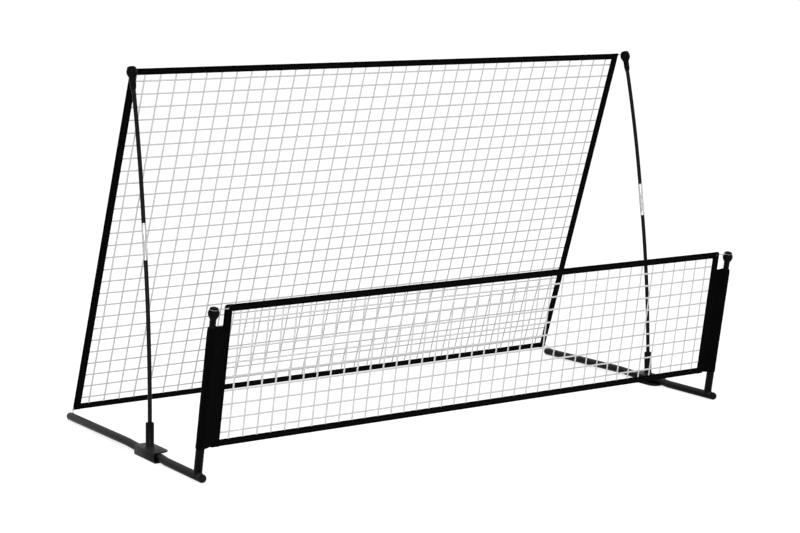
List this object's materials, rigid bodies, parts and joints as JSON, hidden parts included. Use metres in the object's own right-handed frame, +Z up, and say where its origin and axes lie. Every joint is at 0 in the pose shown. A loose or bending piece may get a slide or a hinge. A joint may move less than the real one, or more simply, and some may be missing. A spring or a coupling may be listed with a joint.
{
  "type": "pitch back rebounder",
  "caption": "Ball rebounder for the garden: steel side frames with bowed pull-out poles carry a tall sloping net, and a low net is strung between front posts.",
  "frame": {"origin": "on the ground, under the middle of the footprint", "axes": "+X along the nets to the right seen from the small net, +Y from the small net towards the large net's foot, +Z up"},
  "size_m": [1.952, 0.9954, 1.1427],
  "materials": {
    "frame_tube": "black powder coat, satin",
    "pole": "black rod, satin",
    "ferrule": "bright plated tube",
    "black_plastic": "moulded, matt",
    "tape": "woven black border tape, stitched along its middle",
    "sleeve_fabric": "black woven cloth",
    "net_strand": "pale grey flat-woven strand",
    "cord": "white elastic cord"
  },
  "bodies": {
    "frame": {"base_tube_right": "frame_tube", "base_tube_left": "frame_tube", "bracket_right": "frame_tube", "bracket_left": "frame_tube", "pole_socket_right": "frame_tube", "pole_socket_left": "frame_tube", "front_post_right": "frame_tube", "front_post_left": "frame_tube", "large_net_side_tape_right": "tape", "large_net_side_tape_left": "tape", "small_net_side_tape_right": "tape", "small_net_side_tape_left": "tape", "sleeve_right": "sleeve_fabric", "sleeve_left": "sleeve_fabric", "front_cord_right": "cord", "front_cord_left": "cord", "rear_cord_right": "cord", "rear_cord_left": "cord", "end_caps": "black_plastic", "socket_bushes": "black_plastic", "front_knobs": "black_plastic", "large_net_uprights": "net_strand", "large_net_rows": "net_strand", "large_net_top_tape": "tape", "large_net_bottom_tape": "tape", "small_net_uprights": "net_strand", "small_net_rows": "net_strand", "small_net_top_tape": "tape", "small_net_bottom_tape": "tape"},
    "right_pole": {"pole_lower_right": "pole", "ferrule_right": "ferrule"},
    "left_pole": {"pole_lower_left": "pole", "ferrule_left": "ferrule"},
    "right_pole_top": {"pole_upper_right": "pole", "top_cord_right": "cord"},
    "left_pole_top": {"pole_upper_left": "pole", "top_cord_left": "cord"}
  },
  "joints": [
    {"name": "right_pole_lift", "type": "slide", "parent": "frame", "child": "right_pole", "axis": [-0.0236, 0, 0.9997], "range_m": [0, 0.08]},
    {"name": "left_pole_lift", "type": "slide", "parent": "frame", "child": "left_pole", "axis": [0.0236, 0, 0.9997], "range_m": [0, 0.08]},
    {"name": "right_pole_top_pull", "type": "slide", "parent": "right_pole", "child": "right_pole_top", "axis": [-0.0234, 0.1229, 0.9921], "range_m": [0, 0.058]},
    {"name": "left_pole_top_pull", "type": "slide", "parent": "left_pole", "child": "left_pole_top", "axis": [0.0234, 0.1229, 0.9921], "range_m": [0, 0.058]}
  ]
}
